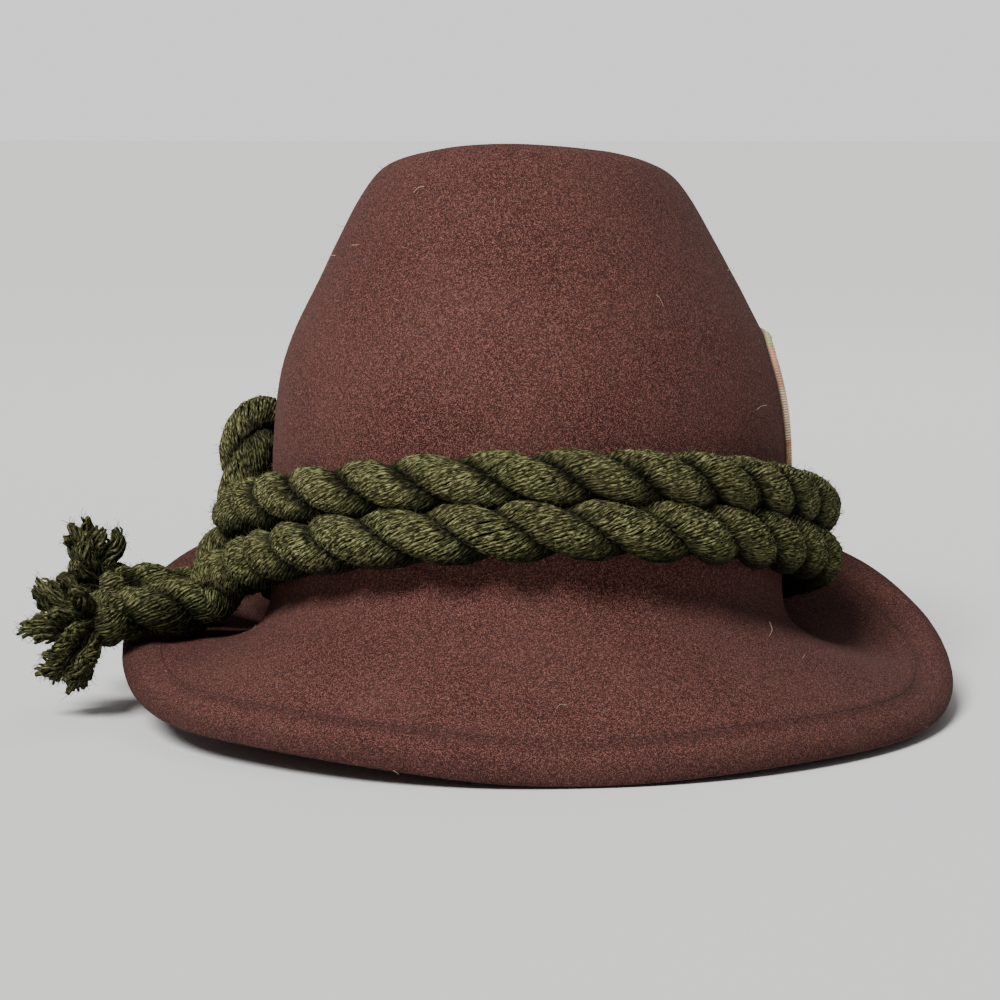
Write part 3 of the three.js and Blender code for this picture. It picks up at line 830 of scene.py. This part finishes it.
patch = {
    "width": 0.046,
    "height": 0.050,
    "lower": 0.002,
    "corner": 0.012,
    "thickness": 0.0010,
    "edging": 0.0034,
    "stitchPitch": 0.0008,
    "stitchRadius": 0.00046,
    "rowPitch": 0.0008,
    "lift": 0.00015,
    # from the lower edge up: tan, a thin darker line, cream, peach and yellow green
    "bands": [(0.0, paint(230, 196, 144)), (0.30, paint(230, 196, 144)),
              (0.32, paint(214, 164, 120)), (0.34, paint(214, 164, 120)),
              (0.36, paint(240, 216, 180)), (0.66, paint(240, 216, 180)),
              (0.69, paint(234, 180, 152)), (0.92, paint(232, 174, 146)),
              (0.94, paint(194, 194, 132)), (1.0, paint(194, 194, 132))],
    "worn": (0.16, 0.1, 0.06, 1),
    "backing": paint(112, 96, 84),
}


def patchFrame():
    # middle of the patch and its directions: out of the crown, along its width and up
    places = pointRows(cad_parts["side_patch"].data)[0]
    middle = (places.min(axis=0) + places.max(axis=0)) / 2 - (0, 0, patch["lower"])
    _, axes = np.linalg.eigh(np.cov((places - places.mean(axis=0)).T))
    out = axes[:, 0] * np.sign(axes[0, 0])
    across = unit(np.cross((0, 0, 1.0), out)[None])[0]
    return middle, out, across, np.cross(out, across)


def onCrown(spot, lift):
    # a point of the patch's flat pattern laid on the crown, lift above the felt
    middle, out, across, up = patchAxes
    place = Vector(middle + across * spot[0] + up * spot[1])
    hit, normal, _, _ = feltSurface.ray_cast(place + Vector(out) * 0.03, -Vector(out))
    if hit is None:
        hit, normal, _, _ = feltSurface.find_nearest(place)
    return np.array(hit) + np.array(normal) * lift


def patchOutline(inset, count):
    # points of the patch's rounded outline, drawn in by inset
    halfWide, halfHigh = patch["width"] / 2 - inset, patch["height"] / 2 - inset
    corner = max(patch["corner"] - inset, 0.001)
    spots = []
    for k, (x, y) in enumerate([(1, 1), (-1, 1), (-1, -1), (1, -1)]):
        for turn in np.linspace(0, 90, 13):
            a = radians(turn + 90 * k)
            spots.append((x * (halfWide - corner) + corner * cos(a),
                          y * (halfHigh - corner) + corner * sin(a), 0))
    loop = evenPath(np.array(spots + spots[:1]), 0.0001)
    return loop[np.linspace(0, len(loop) - 1, count + 1).astype(int)[:-1]]


def patchMaterial():
    look = Look("stitched_patch")
    height = look.attribute("patchHeight")
    wave = {"Vector": look.node("ShaderNodeTexCoord", out="Object"),
            "Scale": 0.314 / patch["rowPitch"],  # a Wave Texture's band is 0.314 wide at scale 1
            "Distortion": 0.6, "Detail": 2.0, "Detail Scale": 3.0}
    rows = look.node("ShaderNodeTexWave", {"wave_type": "BANDS", "bands_direction": "Z"}, wave)
    soft = look.grain(0.004, 3.0, 0.6)
    speck = look.grain(0.0006, 2.0, 0.6)
    colour = look.node("ShaderNodeValToRGB", {"stops": patch["bands"]},
                       {"Fac": height + soft * 0.03 - 0.015})
    worn = look.span(rows * 0.6 + speck * 0.4, 0.2, 0.6, 0.35, 0.0)
    colour = look.blendColour(worn, colour, patch["worn"])
    colour = look.blendColour(look.attribute("patchSide"), patch["backing"], colour)
    bump = look.node("ShaderNodeBump", None,
                     {"Strength": 0.6, "Distance": 0.0004, "Height": rows + speck * 0.5})
    return look.finish({"Base Color": colour, "Roughness": 0.75, "Normal": bump,
                        "Specular IOR Level": 0.3, "Sheen Weight": 0.2})


def markHeight(mesh):
    # how far up the patch each point is, and whether it shows the stitched face or the backing
    places = pointRows(mesh)[0]
    above = np.array([feltSurface.find_nearest(Vector(place))[3] for place in places])
    side = np.clip((above - 0.0003) / 0.0005, 0, 1)
    middle, _, _, up = patchAxes
    height = (places - middle) @ up / patch["height"] + 0.5
    markPoints(mesh, "patchHeight", np.clip(height, 0, 1))
    markPoints(mesh, "patchSide", side)


def patchCloth():
    # a flat grid drawn in at its corners, laid on the crown and given its thickness
    sheet = bmesh.new()
    bmesh.ops.create_grid(sheet, x_segments=24, y_segments=27, size=1)
    halfWide, halfHigh, corner = patch["width"] / 2, patch["height"] / 2, patch["corner"]
    for point in sheet.verts:
        x, y = point.co.x * halfWide, point.co.y * halfHigh
        a, b = (abs(x) - halfWide + corner) / corner, (abs(y) - halfHigh + corner) / corner
        if a > 0 and b > 0:
            x = np.sign(x) * (halfWide - corner + corner * a * (1 - b * b / 2) ** 0.5)
            y = np.sign(y) * (halfHigh - corner + corner * b * (1 - a * a / 2) ** 0.5)
        point.co = onCrown((x, y), patch["lift"])
    bmesh.ops.recalc_face_normals(sheet, faces=sheet.faces)
    outward = Vector(patchAxes[1])
    if sum(face.normal.dot(outward) for face in sheet.faces) < 0:
        bmesh.ops.reverse_faces(sheet, faces=sheet.faces)
    mesh = bpy.data.meshes.new("patch")
    sheet.to_mesh(mesh)
    sheet.free()
    holder = bpy.data.objects.new("patch_holder", mesh)
    bpy.context.collection.objects.link(holder)
    wall = holder.modifiers.new("wall", "SOLIDIFY")
    wall.thickness = patch["thickness"]
    wall.offset = 1
    smooth = holder.modifiers.new("round", "SUBSURF")
    smooth.levels = smooth.render_levels = 1
    mesh = bakeMesh(holder, "patch")
    smoothFaces(mesh)
    return mesh


def patchStitches():
    # slanted stitches side by side from the patch's face over its edge
    around = 2 * (patch["width"] + patch["height"] - 2 * patch["corner"] * (2 - pi / 2))
    count = int(around / patch["stitchPitch"])
    rings = [patchOutline(inset, count) for inset in (patch["edging"], 0.0012, -0.0003, 0.0001)]
    heights = (patch["thickness"], patch["thickness"] + 0.0006, 0.0008, 0.0001)
    paths = []
    for k in range(count):
        slant = (k + 1) % count
        spots = [rings[0][k], rings[1][k], rings[2][slant], rings[3][slant]]
        paths.append(np.array([onCrown(spot, lift) for spot, lift in zip(spots, heights)]))
    return tubeMesh("patch_edging", paths, [patch["stitchRadius"]] * len(paths))


def makePatch():
    cloth = patchCloth()
    markHeight(cloth)
    look = patchMaterial()
    addPiece("cloth_patch", cloth, look, "patch", "side_patch")
    edging = patchStitches()
    markHeight(edging)
    addPiece("patch_edging", edging, look, "patch")


patchAxes = patchFrame()
makePatch()
print("patch made")

studio = {
    "floor": paint(240, 239, 237),
    "floorFleck": (0.8, 0.8, 0.79, 1),
    "backdrop": 1.126,
    "air": 0.22,
    "key": 4.5,
    "keyPlace": (-0.5, -1.0, 1.2),
    "keySoftness": 24,
    "fill": 0.4,
    "fillPlace": (1.3, -1.1, 0.7),
    "rim": 3.0,
    "rimPlace": (0.2, 1.2, 1.3),
    "lampSize": 0.9,
}


def makeFloor():
    sheet = bmesh.new()
    bmesh.ops.create_grid(sheet, x_segments=8, y_segments=8, size=15)
    mesh = bpy.data.meshes.new("floor")
    sheet.to_mesh(mesh)
    sheet.free()
    look = Look("pale_floor")
    grain = look.grain(0.05, 2.0, 0.5)
    tint = look.blendColour(grain * 0.05, studio["floor"], studio["floorFleck"])
    mesh.materials.append(look.finish({"Base Color": tint, "Roughness": 0.9,
                                       "Specular IOR Level": 0.1}))
    floor = bpy.data.objects.new("floor", mesh)
    floor.location.z = -0.0004
    bpy.context.collection.objects.link(floor)


def addLamp(kind, name):
    # a lamp at its place in the studio that looks at the hat
    data = bpy.data.lights.new(name, kind)
    data.energy = studio[name]
    lamp = bpy.data.objects.new(name, data)
    lamp.location = studio[name + "Place"]
    ahead = Vector((0, 0, 0.08)) - lamp.location
    lamp.rotation_euler = ahead.to_track_quat("-Z", "Y").to_euler()
    bpy.context.collection.objects.link(lamp)
    return data


def lightStudio():
    addLamp("SUN", "key").angle = radians(studio["keySoftness"])
    for name in ("fill", "rim"):
        lamp = addLamp("AREA", name)
        lamp.shape = "DISK"
        lamp.size = studio["lampSize"]
    world = bpy.data.worlds.new("studio")
    bpy.context.scene.world = world
    world.use_nodes = True
    tree = world.node_tree
    back = tree.nodes["Background"]
    back.inputs["Color"].default_value = (1, 1, 1, 1)
    # the backdrop looks as bright as the lit floor, and lights the hat less
    path = tree.nodes.new("ShaderNodeLightPath")
    strength = tree.nodes.new("ShaderNodeMapRange")
    strength.inputs["To Min"].default_value = studio["air"]
    strength.inputs["To Max"].default_value = studio["backdrop"]
    tree.links.new(path.outputs["Is Camera Ray"], strength.inputs["Value"])
    tree.links.new(strength.outputs["Result"], back.inputs["Strength"])


makeFloor()
lightStudio()
print("studio ready")
